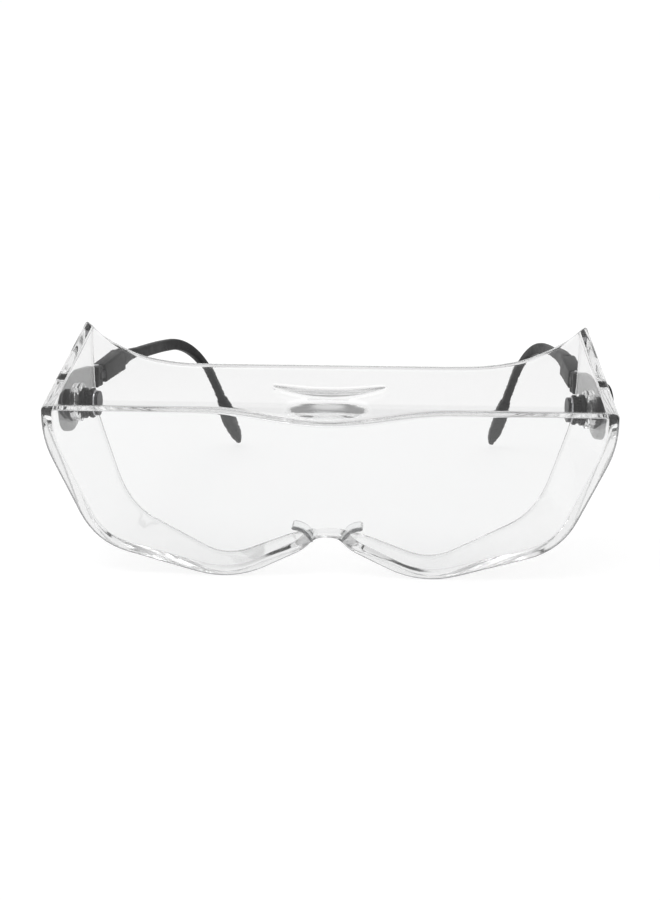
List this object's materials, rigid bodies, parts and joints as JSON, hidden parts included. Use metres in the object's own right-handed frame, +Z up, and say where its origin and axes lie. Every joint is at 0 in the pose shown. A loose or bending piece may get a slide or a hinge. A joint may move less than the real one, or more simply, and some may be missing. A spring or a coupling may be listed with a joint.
{
  "type": "protective over-glasses",
  "caption": "Clear wrap-round protective spectacles with brow and side guards and black temples that tilt, fold and lengthen.",
  "frame": {"origin": "on the surface the spectacles stand on, under the middle of their bounding box", "axes": "+X to the wearer's left, +Y back along the temples towards the ears, +Z up"},
  "size_m": [0.171, 0.1845, 0.069],
  "materials": {
    "clear_polycarbonate": "clear, polished, water-white with a faint cool edge",
    "clear_soft_pad": "clear flexible plastic, slightly hazed",
    "black_bracket": "black moulded nylon, satin with fine texture",
    "black_temple": "black moulded nylon, satin",
    "black_ratchet": "black acetal, smooth",
    "soft_tip": "dark soft elastomer, semi-gloss",
    "pin_steel": "turned steel",
    "blackened_steel": "blackened steel, smooth",
    "spring_steel": "rolled spring steel"
  },
  "bodies": {
    "shield": {"lens_shield": "clear_polycarbonate", "nose_pad_left": "clear_soft_pad", "nose_pad_right": "clear_soft_pad", "ratchet_ring_left": "black_ratchet", "ratchet_ring_right": "black_ratchet"},
    "bracket_left": {"tilt_bracket_left": "black_bracket", "ratchet_cap_left": "black_ratchet", "wave_spring_left": "spring_steel", "pivot_rivet_left": "blackened_steel", "hinge_pin_left": "pin_steel"},
    "sleeve_left": {"temple_sleeve_left": "black_temple", "detent_spring_left": "spring_steel"},
    "arm_left": {"temple_arm_left": "black_temple", "ear_tip_left": "soft_tip"},
    "bracket_right": {"tilt_bracket_right": "black_bracket", "ratchet_cap_right": "black_ratchet", "wave_spring_right": "spring_steel", "pivot_rivet_right": "blackened_steel", "hinge_pin_right": "pin_steel"},
    "sleeve_right": {"temple_sleeve_right": "black_temple", "detent_spring_right": "spring_steel"},
    "arm_right": {"temple_arm_right": "black_temple", "ear_tip_right": "soft_tip"}
  },
  "joints": [
    {"name": "temple_tilt_left", "type": "hinge", "parent": "shield", "child": "bracket_left", "pos_m": [0.081, -0.05759, 0.045], "axis": [0.9984, 0.0558, 0], "range_deg": [-8, 8]},
    {"name": "temple_fold_left", "type": "hinge", "parent": "bracket_left", "child": "sleeve_left", "pos_m": [0.07921, -0.03446, 0.04895], "axis": [0, 0, 1], "range_deg": [0, 80]},
    {"name": "temple_length_left", "type": "slide", "parent": "sleeve_left", "child": "arm_left", "axis": [-0.0087, 0.9916, 0.1288], "range_m": [0, 0.009]},
    {"name": "temple_tilt_right", "type": "hinge", "parent": "shield", "child": "bracket_right", "pos_m": [-0.081, -0.05759, 0.045], "axis": [0.9984, -0.0558, 0], "range_deg": [-8, 8]},
    {"name": "temple_fold_right", "type": "hinge", "parent": "bracket_right", "child": "sleeve_right", "pos_m": [-0.07921, -0.03446, 0.04895], "axis": [0, 0, -1], "range_deg": [-8.5, 81]},
    {"name": "temple_length_right", "type": "slide", "parent": "sleeve_right", "child": "arm_right", "axis": [0.1551, 0.9795, 0.1288], "range_m": [0, 0.009]}
  ]
}
